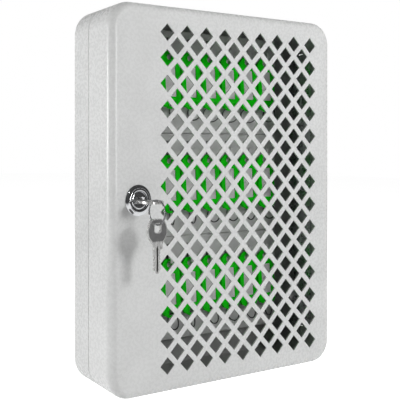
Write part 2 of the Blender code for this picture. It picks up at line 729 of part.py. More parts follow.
# the spare key hangs from the bottom of the ring, facing the front
spare_at = at_lock(y=ring_y, z=-KEY_RING_DROP - KEY_RING_R)
spare_pivot = pivot("spare_key_pivot", spare_at, ring_pivot)
spare_rise = BOW_HOLE_DOWN - BOW_HOLE_R + KEY_RING_WIRE_R + SPARE_CLEAR
new_object("spare_key", key_mesh, rot=(pi / 2, 0, 0),
           where=spare_at + Vector((0, 0, spare_rise)), parent=spare_pivot)

# ------------------------------------------------------------------ key tags
# heights on a tag, from the centre of its eye
tag_top = TAG_TOP - (HOOK_Z + EYE_UP)
tag_low = tag_top - TAG_L
foot_low = tag_low + FOOT_BAR
foot_high = foot_low + TAG_FOOT_H
label_top = tag_top - LABEL_DOWN


def tag_outline():
    """Tag outline, +Y up: the right side from the top down, then its mirror image."""
    half = TAG_W / 2
    body_low = tag_low + 1.8 * MM
    right = [(3.4 * MM, tag_top), (4.8 * MM, tag_top - 0.8 * MM),
             (half, tag_top - 6.4 * MM), (half, body_low + 3.4 * MM),
             (7.4 * MM, body_low), (5.0 * MM, body_low - 0.3 * MM),
             (4.2 * MM, tag_low + 0.5 * MM), (3.3 * MM, tag_low)]
    return right + [(-x, y) for x, y in reversed(right)]


def foot_slot():
    """Chamfered rectangle just above the foot bar."""
    half = TAG_FOOT_W / 2
    flat = half - FOOT_CHAMFER
    return [(half, foot_high - FOOT_CHAMFER), (flat, foot_high),
            (-flat, foot_high), (-half, foot_high - FOOT_CHAMFER),
            (-half, foot_low + FOOT_CHAMFER), (-flat, foot_low),
            (flat, foot_low), (half, foot_low + FOOT_CHAMFER)]


def key_tag_mesh():
    """Upright tag mesh, origin at the centre of the eye, front towards -Y."""
    eye = circle(0, 0, TAG_EYE_HOLE_R, 10, pi / 10)
    blank = new_object("tag_blank", flat_piece(
        "tag_blank", [tag_outline(), eye, foot_slot()], TAG_T), rot=(pi / 2, 0, 0))
    combine(blank, block("label_recess",
                         (-LABEL_W / 2, -TAG_T / 2 - 1 * MM, label_top - LABEL_H),
                         (LABEL_W / 2, -TAG_T / 2 + LABEL_SINK, label_top)), 'DIFFERENCE')
    # both faces are recessed around the eye and around the foot slot
    for half, low, high in (
            (6.5 * MM, -TAG_EYE_R - 1.0 * MM, tag_top + 1 * MM),
            (4.6 * MM, tag_low - 1 * MM, foot_high + 0.8 * MM)):
        for side in (-1, 1):
            combine(blank, block("eye_recess", (-half, side * TAB_T / 2, low),
                                 (half, side * 3 * MM, high)), 'DIFFERENCE')
    mesh = evaluated_mesh(blank, "key_tag")
    mesh.transform(Matrix.Rotation(pi / 2, 4, 'X'))
    mesh.materials.clear()
    mesh.materials.append(GREEN)
    smooth(mesh, 25)
    guides = [modifier.object for modifier in blank.modifiers]
    for ob in [blank, *guides]:
        bpy.data.objects.remove(ob)
    return mesh


tag_mesh = key_tag_mesh()
tag_ring_mesh = ring_mesh("tag_ring", RING_R, RING_WIRE_R, 16, 4)
tag_ring_mesh.materials.append(SPRING_STEEL)


def hang_tag(suffix, x, z_hook, ring_yaw):
    """One tag and its ring on a pivot at the hook, tilted once both are placed."""
    y = y_at(TAG_DEPTH)
    swing = pivot("tag_pivot_" + suffix, (x, y, z_hook - BOARD_T / 2))
    eye_z = z_hook + EYE_UP
    new_object("key_tag_" + suffix, tag_mesh, parent=swing, where=(x, y, eye_z))
    if abs(ring_yaw) > RING_FLAT_YAW:
        hang = Vector((0, 0, -RING_FLAT_DROP))
    else:
        hang = Vector((0, -RING_LEAN, -RING_DROP))
    # the ring's offset from the bar is set in world axes, so the tilt is undone
    tilt = Matrix.Rotation(-radians(TAG_TILT), 3, 'X')
    yaw = Matrix.Rotation(radians(ring_yaw), 3, 'Z')
    bar_at = Vector((x, y, eye_z + foot_low))
    new_object("tag_ring_" + suffix, tag_ring_mesh, parent=swing,
               where=bar_at + tilt.inverted() @ (yaw @ hang),
               rot=(0, pi / 2, radians(ring_yaw)))
    swing.rotation_euler = (-radians(TAG_TILT), 0, 0)


for label, yaws in RING_YAW.items():
    for number, ring_yaw in enumerate(yaws, FIRST_TAG):
        hang_tag("%s_%d" % (label, number), x_at(HOOK_FIRST_X + (number - 1) * HOOK_PITCH),
                 z_at(BOARD_Z[label] + HOOK_Z), ring_yaw)
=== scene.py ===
import json
from math import pi, sin, cos, radians, sqrt

import bmesh
import bpy
from mathutils import Matrix, Vector


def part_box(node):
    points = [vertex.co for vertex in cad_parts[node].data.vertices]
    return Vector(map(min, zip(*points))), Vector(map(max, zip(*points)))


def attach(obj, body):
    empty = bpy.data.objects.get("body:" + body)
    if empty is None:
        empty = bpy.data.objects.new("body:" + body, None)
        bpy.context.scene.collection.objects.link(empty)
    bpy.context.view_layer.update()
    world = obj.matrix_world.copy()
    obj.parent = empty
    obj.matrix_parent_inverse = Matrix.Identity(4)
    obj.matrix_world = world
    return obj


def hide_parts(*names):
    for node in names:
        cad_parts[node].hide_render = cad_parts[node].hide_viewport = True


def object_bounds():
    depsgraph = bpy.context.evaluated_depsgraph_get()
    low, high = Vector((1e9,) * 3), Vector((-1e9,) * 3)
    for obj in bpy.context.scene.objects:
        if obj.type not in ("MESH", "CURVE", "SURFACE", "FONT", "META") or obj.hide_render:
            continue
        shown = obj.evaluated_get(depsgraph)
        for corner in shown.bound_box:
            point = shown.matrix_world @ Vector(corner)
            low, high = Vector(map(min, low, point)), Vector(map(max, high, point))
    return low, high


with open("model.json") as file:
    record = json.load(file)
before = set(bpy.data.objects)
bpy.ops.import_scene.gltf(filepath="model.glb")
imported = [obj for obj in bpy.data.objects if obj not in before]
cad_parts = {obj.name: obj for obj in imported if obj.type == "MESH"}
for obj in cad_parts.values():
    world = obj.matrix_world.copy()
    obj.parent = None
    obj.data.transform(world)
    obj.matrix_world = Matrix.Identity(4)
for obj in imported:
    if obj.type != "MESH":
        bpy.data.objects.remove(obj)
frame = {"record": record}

MM = 0.001
CAD_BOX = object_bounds()
scene = bpy.context.scene


# ============================================================ small helpers
def box(node):
    lo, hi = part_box(node)
    return Vector(lo), Vector(hi)


def link(name, mesh):
    ob = bpy.data.objects.new(name, mesh)
    scene.collection.objects.link(ob)
    return ob


def drop(ob):
    bpy.data.objects.remove(ob, do_unlink=True)


def baked(ob, name):
    """Mesh of an object after its modifiers."""
    bpy.context.view_layer.update()
    dg = bpy.context.evaluated_depsgraph_get()
    me = bpy.data.meshes.new_from_object(ob.evaluated_get(dg))
    me.name = name
    return me


def settle(ob, degrees=35):
    """Apply all modifiers and shade smooth up to an angle."""
    me = baked(ob, ob.name)
    bm = bmesh.new()
    bm.from_mesh(me)
    bmesh.ops.remove_doubles(bm, verts=bm.verts, dist=0.0000015)
    bmesh.ops.dissolve_degenerate(bm, dist=0.000001, edges=bm.edges)
    bm.to_mesh(me)
    bm.free()
    mats = list(ob.data.materials)
    ob.modifiers.clear()
    ob.data = me
    me.shade_smooth()
    me.set_sharp_from_angle(angle=radians(degrees))
    return ob


def bevel(ob, width, segments=2, degrees=40, harden=False):
    b = ob.modifiers.new("edge", 'BEVEL')
    b.width = width
    b.segments = segments
    b.limit_method = 'ANGLE'
    b.angle_limit = radians(degrees)
    b.use_clamp_overlap = True
    b.harden_normals = harden
    b.miter_outer = 'MITER_ARC'
    return b


def weighted(ob):
    w = ob.modifiers.new("normals", 'WEIGHTED_NORMAL')
    w.mode = 'FACE_AREA'
    w.keep_sharp = True
    w.weight = 60
    return w


def cut(ob, cutter, how='DIFFERENCE'):
    """Boolean, applied at once; the cutter goes away."""
    m = ob.modifiers.new("cut", 'BOOLEAN')
    m.operation = how
    m.solver = 'EXACT'
    m.object = cutter
    me = baked(ob, ob.name)
    ob.modifiers.clear()
    ob.data = me
    drop(cutter)
    return ob


def cuboid(name, lo, hi):
    bm = bmesh.new()
    bmesh.ops.create_cube(bm, size=1.0)
    bmesh.ops.scale(bm, vec=[b - a for a, b in zip(lo, hi)], verts=bm.verts)
    bmesh.ops.translate(bm, vec=[(a + b) / 2 for a, b in zip(lo, hi)], verts=bm.verts)
    me = bpy.data.meshes.new(name)
    bm.to_mesh(me)
    bm.free()
    return link(name, me)


def bar(name, radius, start, end, segments=32):
    start, end = Vector(start), Vector(end)
    along = end - start
    bm = bmesh.new()
    bmesh.ops.create_cone(bm, cap_ends=True, segments=segments, radius1=radius,
                          radius2=radius, depth=along.length)
    turn = Vector((0, 0, 1)).rotation_difference(along).to_matrix().to_4x4()
    bmesh.ops.transform(bm, matrix=Matrix.Translation((start + end) / 2) @ turn,
                        verts=bm.verts)
    me = bpy.data.meshes.new(name)
    bm.to_mesh(me)
    bm.free()
    return link(name, me)


def lathe(name, profile, segments, closed=True):
    """Turn (radius, height) pairs around local Z; outer side runs downwards."""
    me = bpy.data.meshes.new(name)
    n = len(profile)
    edges = [(i, i + 1) for i in range(n - 1)]
    if closed:
        edges.append((n - 1, 0))
    me.from_pydata([(r, 0.0, h) for r, h in profile], edges, [])
    ob = link(name, me)
    s = ob.modifiers.new("turn", 'SCREW')
    s.axis = 'Z'
    s.angle = 2 * pi
    s.steps = segments
    s.render_steps = segments
    s.use_merge_vertices = True
    s.merge_threshold = 0.000005
    s.use_normal_calculate = False
    me = baked(ob, name)
    bm = bmesh.new()
    bm.from_mesh(me)
    bmesh.ops.remove_doubles(bm, verts=bm.verts, dist=0.000002)
    bmesh.ops.recalc_face_normals(bm, faces=bm.faces)
    bm.to_mesh(me)
    bm.free()
    ob.modifiers.clear()
    ob.data = me
    return ob


def plate(name, loops, thickness):
    """Flat outline with holes in local XY, thickness along local Z."""
    cu = bpy.data.curves.new(name, 'CURVE')
    cu.dimensions = '2D'
    cu.fill_mode = 'BOTH' if thickness else 'FRONT'
    cu.extrude = thickness / 2
    for loop in loops:
        sp = cu.splines.new('POLY')
        sp.points.add(len(loop) - 1)
        for p, (x, y) in zip(sp.points, loop):
            p.co = (x, y, 0.0, 1.0)
        sp.use_cyclic_u = True
    tmp = link(name + "_outline", cu)
    me = baked(tmp, name)
    drop(tmp)
    bpy.data.curves.remove(cu)
    bm = bmesh.new()
    bm.from_mesh(me)
    bmesh.ops.remove_doubles(bm, verts=bm.verts, dist=0.000001)
    bmesh.ops.recalc_face_normals(bm, faces=bm.faces)
    bm.to_mesh(me)
    bm.free()
    me.materials.clear()
    return me


def arc(cx, cy, r, a0, a1, n):
    return [(cx + r * cos(radians(a0 + (a1 - a0) * i / n)),
             cy + r * sin(radians(a0 + (a1 - a0) * i / n))) for i in range(n + 1)]


def soften(points, rounds=2, share=0.25):
    """Cut the corners of a closed loop."""
    for _ in range(rounds):
        out = []
        n = len(points)
        for i in range(n):
            (x0, y0), (x1, y1) = points[i], points[(i + 1) % n]
            out.append((x0 + (x1 - x0) * share, y0 + (y1 - y0) * share))
            out.append((x1 - (x1 - x0) * share, y1 - (y1 - y0) * share))
        points = out
    return points


def fillet_loop(points, radius, n=3):
    """Round every corner of a closed polygon with an arc of the given radius."""
    out = []
    count = len(points)
    for i in range(count):
        p = Vector(points[i])
        a = (Vector(points[i - 1]) - p)
        b = (Vector(points[(i + 1) % count]) - p)
        la, lb = a.length, b.length
        a.normalize()
        b.normalize()
        half = a.angle(b) / 2
        r = radius[i] if isinstance(radius, (list, tuple)) else radius
        if r <= 0 or half > radians(88):
            out.append(tuple(p))
            continue
        t = min(r / max(1e-6, abs(sin(half) / cos(half))), la * 0.48, lb * 0.48)
        r = t * abs(sin(half) / cos(half))
        centre = p + (a + b).normalized() * (r / sin(half))
        s, e = p + a * t - centre, p + b * t - centre
        sweep = s.angle(e)
        sign = 1.0 if s.x * e.y - s.y * e.x > 0 else -1.0
        for k in range(n + 1):
            ang = sign * sweep * k / n
            out.append((centre.x + s.x * cos(ang) - s.y * sin(ang),
                        centre.y + s.x * sin(ang) + s.y * cos(ang)))
    return out


# ================================================================ materials
class Nodes:
    """Thin wrapper around a material's node tree."""

    def __init__(self, name):
        self.mat = bpy.data.materials.new(name)
        self.mat.use_nodes = True
        self.tree = self.mat.node_tree
        self.bsdf = self.tree.nodes["Principled BSDF"]
        self.out = self.tree.nodes["Material Output"]
        self.coord = self.add('ShaderNodeTexCoord')

    def add(self, kind, **props):
        n = self.tree.nodes.new(kind)
        for k, v in props.items():
            setattr(n, k, v)
        return n

    def link(self, a, b):
        self.tree.links.new(a, b)

    def noise(self, scale, detail=2.0, rough=0.5, stretch=None, distortion=0.0):
        n = self.add('ShaderNodeTexNoise')
        n.inputs["Scale"].default_value = scale
        n.inputs["Detail"].default_value = detail
        n.inputs["Roughness"].default_value = rough
        n.inputs["Distortion"].default_value = distortion
        if stretch:
            m = self.add('ShaderNodeMapping')
            m.inputs["Scale"].default_value = stretch
            self.link(self.coord.outputs["Object"], m.inputs["Vector"])
            self.link(m.outputs["Vector"], n.inputs["Vector"])
        else:
            self.link(self.coord.outputs["Object"], n.inputs["Vector"])
        return n.outputs["Fac"]

    def span(self, value, a, b, c, d):
        """Map value from a..b to c..d."""
        m = self.add('ShaderNodeMapRange')
        m.inputs["From Min"].default_value = a
        m.inputs["From Max"].default_value = b
        m.inputs["To Min"].default_value = c
        m.inputs["To Max"].default_value = d
        self.link(value, m.inputs["Value"])
        return m.outputs["Result"]

    def mix(self, fac, a, b):
        m = self.add('ShaderNodeMix', data_type='RGBA')
        for sock, v in ((m.inputs[0], fac), (m.inputs[6], a), (m.inputs[7], b)):
            if isinstance(v, (int, float)):
                sock.default_value = v
            elif isinstance(v, tuple):
                sock.default_value = (*v, 1.0)
            else:
                self.link(v, sock)
        return m.outputs[2]

    def maths(self, op, a, b=None):
        m = self.add('ShaderNodeMath', operation=op)
        for sock, v in ((m.inputs[0], a), (m.inputs[1], b)):
            if v is None:
                continue
            if isinstance(v, (int, float)):
                sock.default_value = v
            else:
                self.link(v, sock)
        return m.outputs[0]

    def bump(self, height, distance, strength, below=None):
        b = self.add('ShaderNodeBump')
        b.inputs["Distance"].default_value = distance
        b.inputs["Strength"].default_value = strength
        self.link(height, b.inputs["Height"])
        if below is not None:
            self.link(below, b.inputs["Normal"])
        return b.outputs["Normal"]

    def set(self, name, value):
        sock = self.bsdf.inputs[name]
        if isinstance(value, (int, float)):
            sock.default_value = value
        elif isinstance(value, tuple):
            sock.default_value = (*value, 1.0)
        else:
            self.link(value, sock)


def powder_coat(name, colour, peel=0.28, rough=0.27):
    """Sprayed powder coat: orange peel, fine grain, slightly uneven sheen."""
    n = Nodes(name)
    tone = n.noise(38.0, 3.0, 0.55)
    grain = n.noise(5200.0, 1.0, 0.6)
    dark = tuple(c * 0.965 for c in colour)
    light = tuple(min(1.0, c * 1.02) for c in colour)
    base = n.mix(n.span(tone, 0.35, 0.65, 0.0, 1.0), dark, light)
    base = n.mix(n.span(grain, 0.50, 0.75, 0.0, 0.12), base, tuple(c * 0.86 for c in colour))
    n.set("Base Color", base)
    n.set("Roughness", n.span(n.noise(420.0, 2.0), 0.3, 0.7, rough - 0.05, rough + 0.06))
    n.set("IOR", 1.47)
    coarse = n.noise(760.0, 2.0, 0.5)
    fine = n.noise(2300.0, 2.0, 0.55)
    normal = n.bump(coarse, 0.00010 * peel, 0.55)
    normal = n.bump(fine, 0.00003 * peel, 0.5, normal)
    n.set("Normal", normal)
    return n.mat


def zinc_plate(name, colour=(0.63, 0.64, 0.66), rough=0.30):
    """Bright zinc over rolled steel: faint crystals and rolling lines."""
    n = Nodes(name)
    v = n.add('ShaderNodeTexVoronoi')
    v.inputs["Scale"].default_value = 620.0
    n.link(n.coord.outputs["Object"], v.inputs["Vector"])
    sep = n.add('ShaderNodeSeparateColor')
    n.link(v.outputs["Color"], sep.inputs[0])
    flake = n.span(sep.outputs[0], 0.0, 1.0, 0.0, 1.0)
    base = n.mix(flake, tuple(c * 0.90 for c in colour), tuple(min(1.0, c * 1.06) for c in colour))
    stain = n.noise(70.0, 4.0, 0.6)
    base = n.mix(n.span(stain, 0.50, 0.72, 0.0, 0.35), base, (0.50, 0.49, 0.44))
    n.set("Base Color", base)
    n.set("Metallic", 1.0)
    n.set("Roughness", n.span(flake, 0.0, 1.0, rough - 0.05, rough + 0.08))
    roll = n.noise(900.0, 2.0, 0.5, stretch=(1.0, 1.0, 0.06))
    n.set("Normal", n.bump(roll, 0.00002, 0.4))
    return n.mat


def chrome(name, rough=0.05):
    n = Nodes(name)
    smear = n.noise(210.0, 3.0, 0.5)
    n.set("Base Color", n.mix(n.span(smear, 0.4, 0.7, 0.0, 1.0), (0.83, 0.84, 0.86), (0.76, 0.77, 0.79)))
    n.set("Metallic", 1.0)
    n.set("Roughness", n.span(smear, 0.35, 0.7, rough, rough + 0.07))
    n.set("Normal", n.bump(n.noise(520.0, 1.0), 0.00001, 0.25))
    return n.mat


def nickel(name, colour, rough=0.24, metal=0.62, stretch=(1.0, 0.05, 0.05)):
    """Stamped nickel-plated key: fine polishing lines and small dings."""
    n = Nodes(name)
    lines = n.noise(3600.0, 2.0, 0.6, stretch=stretch)
    cloud = n.noise(240.0, 3.0, 0.55)
    base = n.mix(n.span(cloud, 0.38, 0.68, 0.0, 1.0), colour, tuple(c * 0.82 for c in colour))
    n.set("Base Color", base)
    n.set("Metallic", metal)
    n.set("Roughness", n.span(lines, 0.3, 0.7, rough - 0.06, rough + 0.10))
    normal = n.bump(lines, 0.000012, 0.5)
    normal = n.bump(n.noise(680.0, 2.0), 0.00003, 0.25, normal)
    n.set("Normal", normal)
    return n.mat


def wire_steel(name, colour, rough=0.20):
    n = Nodes(name)
    draw = n.noise(1900.0, 2.0, 0.5)
    n.set("Base Color", n.mix(n.span(draw, 0.4, 0.65, 0.0, 1.0), colour, tuple(c * 0.75 for c in colour)))
    n.set("Metallic", 1.0)
    n.set("Roughness", n.span(draw, 0.3, 0.7, rough, rough + 0.14))
    n.set("Normal", n.bump(draw, 0.00001, 0.4))
    return n.mat


def moulded(name, colour, rough=0.34):
    """Injection-moulded plastic: spark-eroded grain, slight flow marks."""
    n = Nodes(name)
    flow = n.noise(60.0, 2.0, 0.5, stretch=(1.0, 1.0, 0.25), distortion=0.4)
    n.set("Base Color", n.mix(n.span(flow, 0.3, 0.7, 0.0, 1.0), colour, tuple(c * 0.88 for c in colour)))
    n.set("Roughness", n.span(n.noise(900.0, 2.0), 0.3, 0.7, rough - 0.04, rough + 0.10))
    n.set("IOR", 1.36)
    n.set("Specular IOR Level", 0.28)
    n.set("Normal", n.bump(n.noise(4200.0, 2.0, 0.6), 0.00002, 0.35))
    return n.mat


def paper(name):
    n = Nodes(name)
    fibre = n.noise(1500.0, 5.0, 0.7, stretch=(1.0, 1.0, 0.5), distortion=1.2)
    n.set("Base Color", n.mix(n.span(fibre, 0.35, 0.7, 0.0, 1.0), (0.80, 0.77, 0.795), (0.74, 0.71, 0.735)))
    n.set("Roughness", 0.85)
    n.set("IOR", 1.3)
    n.set("Normal", n.bump(fibre, 0.00003, 0.4))
    return n.mat


def clear_film(name):
    """Thin clear cover: lets light straight through, with a soft surface shine."""
    n = Nodes(name)
    n.tree.nodes.remove(n.bsdf)
    see = n.add('ShaderNodeBsdfTransparent')
    see.inputs["Color"].default_value = (0.97, 0.975, 0.97, 1.0)
    shine = n.add('ShaderNodeBsdfGlossy')
    rough = n.span(n.noise(300.0, 2.0), 0.3, 0.7, 0.10, 0.24)
    n.link(rough, shine.inputs["Roughness"])
    wave = n.bump(n.noise(140.0, 2.0), 0.00015, 0.4)
    n.link(wave, shine.inputs["Normal"])
    fres = n.add('ShaderNodeFresnel')
    fres.inputs["IOR"].default_value = 1.46
    n.link(wave, fres.inputs["Normal"])
    geo = n.add('ShaderNodeNewGeometry')
    outside = n.maths('SUBTRACT', 1.0, geo.outputs["Backfacing"])
    m = n.add('ShaderNodeMixShader')
    n.link(n.maths('MULTIPLY', fres.outputs[0], outside), m.inputs[0])
    n.link(see.outputs[0], m.inputs[1])
    n.link(shine.outputs[0], m.inputs[2])
    n.link(m.outputs[0], n.out.inputs["Surface"])
    return n.mat


def cavity(name):
    """Near-black steel for the keyway and the key's groove: painted shade deep inside."""
    n = Nodes(name)
    n.set("Base Color", n.mix(n.noise(900.0, 3.0), (0.03, 0.03, 0.03), (0.07, 0.065, 0.055)))
    n.set("Metallic", 0.6)
    n.set("Roughness", n.span(n.noise(1800.0, 2.0), 0.3, 0.7, 0.45, 0.7))
    return n.mat


CASE_PAINT = powder_coat("case_powder_coat", (0.600, 0.606, 0.602))
DOOR_PAINT = powder_coat("door_powder_coat", (0.615, 0.620, 0.616))
# painted shade: the case paint darkened for the faces inside the case
CASE_INSIDE_SHADE = powder_coat("case_inside_painted_shade", (0.300, 0.300, 0.300), rough=0.5)
# painted shade: the door paint darkened for the door's inner faces
DOOR_INSIDE_SHADE = powder_coat("door_inside_painted_shade", (0.480, 0.482, 0.480), rough=0.42)
BOARD_PAINT = powder_coat("board_powder_coat", (0.520, 0.520, 0.520), rough=0.5)
ZINC = zinc_plate("zinc_plate_bright")
CHROME = chrome("lock_chrome_plate")
PLUG_CHROME = chrome("plug_chrome_plate", 0.08)
NICKEL = nickel("key_nickel_polished", (0.66, 0.66, 0.65))
# painted shade: darkened nickel for the sunk panel on the key's bow
NICKEL_RECESS_SHADE = nickel("key_nickel_recess_painted_shade", (0.20, 0.20, 0.20), 0.34)
KEY_WIRE = wire_steel("key_ring_wire", (0.36, 0.36, 0.37))
TAG_WIRE = wire_steel("tag_ring_wire", (0.13, 0.13, 0.13), 0.30)
GREEN = moulded("tag_plastic_green", (0.0, 0.72, 0.0))
PAPER = paper("tag_label_card")
FILM = clear_film("tag_clear_cover")
# painted shade: near-black for the keyway walls and the key's groove
CAVITY_SHADE = cavity("lock_cavity_painted_shade")


def finish_piece(ob, body, mats, replaces=()):
    ob.data.materials.clear()
    for m in mats:
        ob.data.materials.append(m)
    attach(ob, body)
    if replaces:
        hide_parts(*replaces)
    return ob


# ================================================= sizes read from the model
case_lo, case_hi = box("cabinet_body")
door_lo, door_hi = box("door")
W = case_hi.x - case_lo.x
H = case_hi.z - case_lo.z
FACE_Y = door_lo.y
JOINTS = {j["name"]: j for j in frame["record"]["behaviour"]["joints"]}
hinge_at = Vector(JOINTS["door_hinge"]["pos_m"])
LOCK = Vector(JOINTS["key_turn"]["pos_m"])
SHEET = 1.0 * MM
CORNER_R = 19.6 * MM
SEAM_FILL = 0.16 * MM      # paint thickness on each lip closes most of the seam
CENTRE_Z = (case_lo.z + case_hi.z) / 2
CENTRE_X = (case_lo.x + case_hi.x) / 2


# ======================================================= the two steel trays
def rounded_rect(half_w, half_h, r, n=16):
    loop = []
    for cx, cz, a in ((half_w - r, half_h - r, 0), (r - half_w, half_h - r, 90),
                      (r - half_w, r - half_h, 180), (half_w - r, r - half_h, 270)):
        loop += arc(CENTRE_X + cx, CENTRE_Z + cz, r, a, a + 90, n)
    return loop


def tray(name, y_mouth, y_face, edge_r, edge_n, holes, extra_rows=2):
    """Deep-drawn tray as one open sheet: rim, side, rolled edge, flat face."""
    s = 1.0 if y_face > y_mouth else -1.0
    rings = []
    y_t = y_face - s * edge_r
    for k in range(extra_rows + 1):
        rings.append((0.0, y_mouth + (y_t - y_mouth) * k / extra_rows))
    for k in range(1, edge_n + 1):
        a = radians(90.0 * k / edge_n)
        rings.append((edge_r * (1 - cos(a)), y_t + s * edge_r * sin(a)))
    bm = bmesh.new()
    rows = []
    for inset, y in rings:
        loop = rounded_rect(W / 2 - inset, H / 2 - inset, CORNER_R - inset)
        rows.append([bm.verts.new((x, y, z)) for x, z in loop])
    for a, b in zip(rows, rows[1:]):
        for i in range(len(a)):
            j = (i + 1) % len(a)
            bm.faces.new((a[i], a[j], b[j], b[i]))
    inset = rings[-1][0]
    outer = rounded_rect(W / 2 - inset, H / 2 - inset, CORNER_R - inset)
    flat = plate(name + "_flat", [outer] + holes, 0.0)
    # local (x, y) of the flat face is world (x, z)
    flat.transform(Matrix(((1, 0, 0, 0), (0, 0, 0, y_face), (0, 1, 0, 0), (0, 0, 0, 1))))
    bm.from_mesh(flat)
    bmesh.ops.remove_doubles(bm, verts=bm.verts, dist=0.00001)
    bmesh.ops.recalc_face_normals(bm, faces=bm.faces)
    bm.normal_update()
    face = max((f for f in bm.faces), key=lambda f: f.calc_area())
    if face.normal.y * s < 0:
        bmesh.ops.reverse_faces(bm, faces=bm.faces)
    me = bpy.data.meshes.new(name)
    bm.to_mesh(me)
    bm.free()
    bpy.data.meshes.remove(flat)
    ob = link(name, me)
    sol = ob.modifiers.new("sheet", 'SOLIDIFY')
    sol.thickness = SHEET
    sol.offset = -1.0
    sol.use_even_offset = True
    sol.use_rim = True
    return ob


def round_lip(ob, y_mouth, radius):
    """Roll over the outer edge of the tray's mouth."""
    me = baked(ob, ob.name)
    bm = bmesh.new()
    bm.from_mesh(me)

    def outer(v):
        ax = abs(v.co.x - CENTRE_X) - (W / 2 - CORNER_R)
        az = abs(v.co.z - CENTRE_Z) - (H / 2 - CORNER_R)
        if ax > 0 and az > 0:
            return sqrt(ax * ax + az * az) > CORNER_R - 0.2 * MM
        return max(ax, az) > CORNER_R - 0.2 * MM

    edges = [e for e in bm.edges
             if all(abs(v.co.y - y_mouth) < 0.00001 and outer(v) for v in e.verts)]
    bmesh.ops.bevel(bm, geom=edges, offset=radius, offset_type='OFFSET', segments=4,
                    profile=0.5, affect='EDGES', clamp_overlap=False)
    bm.to_mesh(me)
    bm.free()
    ob.modifiers.clear()
    ob.data = me


def inner_faces(ob, y_face):
    """Second material slot for the faces that look into the cabinet: a darkened copy of the paint there, as
    painted shade.
    """
    into = 1.0 if y_face < CAD_BOX[1][1] - 0.01 else -1.0
    for p in ob.data.polygons:
        c, nor = p.center, p.normal
        ax = abs(c.x - CENTRE_X) - (W / 2 - CORNER_R)
        az = abs(c.z - CENTRE_Z) - (H / 2 - CORNER_R)
        rad = sqrt(ax * ax + az * az) if ax > 0 and az > 0 else max(ax, az)
        side = (rad < CORNER_R - SHEET * 0.6 and abs(c.y - y_face) > SHEET * 1.2
                and (nor.x * (c.x - CENTRE_X) + nor.z * (c.z - CENTRE_Z) < 0
                     or nor.y * into > 0.3))
        p.material_index = 1 if side or nor.y * into > 0.9 else 0


# the diamond grid: first hole and pitches, from the case's corner
DIA_X, DIA_Z = 13.6 * MM, 13.7 * MM
PITCH_X, PITCH_Z = 19.43 * MM, 19.78 * MM
FIRST_X = case_lo.x + 52.2 * MM
FIRST_Z = case_hi.z - 21.35 * MM
diamonds = []
for j in range(27):
    for i in range(17):
        if (i + j) % 2:
            continue
        cx, cz = FIRST_X + i * PITCH_X / 2, FIRST_Z - j * PITCH_Z / 2
        pts = [(cx + DIA_X / 2, cz), (cx, cz + DIA_Z / 2), (cx - DIA_X / 2, cz),
               (cx, cz - DIA_Z / 2)]
        diamonds.append(fillet_loop(pts, 0.30 * MM, 2))
lock_hole = [(LOCK.x + 8.2 * MM * cos(2 * pi * i / 48), LOCK.z + 8.2 * MM * sin(2 * pi * i / 48))
             for i in range(48)]

door_vis = tray("door_panel", door_hi.y + SEAM_FILL, FACE_Y, 6.5 * MM, 10, diamonds + [lock_hole], 3)
round_lip(door_vis, door_hi.y + SEAM_FILL, 0.60 * MM)
channel = 127.0 * MM
cut(door_vis, bar("tmp_channel", 2.35 * MM, (hinge_at.x, hinge_at.y, CENTRE_Z - channel),
                  (hinge_at.x, hinge_at.y, CENTRE_Z + channel), 40))
bevel(door_vis, 0.24 * MM, 2, 50)
settle(door_vis, 32)
weighted(door_vis)
# the door's inner faces take the darkened copy of its paint as painted shade
finish_piece(door_vis, "door", [DOOR_PAINT, DOOR_INSIDE_SHADE], ["door"])
inner_faces(door_vis, FACE_Y)

screw_holes = []
for sx in (-1, 1):
    for sz in (-1, 1):
        cx, cz = CENTRE_X + sx * 103.5 * MM, CENTRE_Z + sz * 105.0 * MM
        screw_holes.append([(cx + 2.75 * MM * cos(2 * pi * i / 32),
                             cz + 2.75 * MM * sin(2 * pi * i / 32)) for i in range(32)])
case_vis = tray("case_shell", case_lo.y - SEAM_FILL, case_hi.y, 2.5 * MM, 6, screw_holes, 3)
round_lip(case_vis, case_lo.y - SEAM_FILL, 0.60 * MM)
cut(case_vis, bar("tmp_channel", 2.35 * MM, (hinge_at.x, hinge_at.y, CENTRE_Z - channel),
                  (hinge_at.x, hinge_at.y, CENTRE_Z + channel), 40))
bevel(case_vis, 0.24 * MM, 2, 50)
settle(case_vis, 32)
weighted(case_vis)
# the case's inner faces take the darkened copy of its paint as painted shade
finish_piece(case_vis, "case", [CASE_PAINT, CASE_INSIDE_SHADE], ["cabinet_body"])
inner_faces(case_vis, case_hi.y)

# ================================================================= cam lock
OUT = Matrix.Translation(LOCK) @ Matrix.Rotation(pi / 2, 4, 'X')   # local Z leaves the door


def depth_profile(rows):
    return [(r * MM, -d * MM) for r, d in rows]


thread = []
d = 6.6
while d < 19.0:
    thread += [(7.90, d), (7.90, d + 0.10), (7.50, d + 0.42), (7.50, d + 0.52)]
    d += 0.84
nose = [(7.25, -1.95), (7.32, -2.22), (7.50, -2.30), (8.70, -2.30), (9.02, -2.24),
        (9.24, -2.08), (9.32, -1.86), (9.50, -1.66), (9.90, -1.46), (10.60, -1.16),
        (11.20, -0.94), (11.60, -0.78), (11.80, -0.58), (11.85, -0.36), (11.85, -0.10),
        (11.80, -0.02), (8.10, -0.02), (7.90, 0.05), (7.90, 6.4)]
tail = [(7.90, 19.40), (7.45, 19.95), (6.45, 20.00), (6.25, 19.85), (6.25, -0.80),
        (6.40, -0.90), (7.00, -0.90), (7.18, -1.00)]
housing = lathe("lock_cylinder", depth_profile(nose + thread + tail), 96)
housing.data.transform(OUT)
settle(housing, 28)
finish_piece(housing, "door", [CHROME], ["lock_housing"])

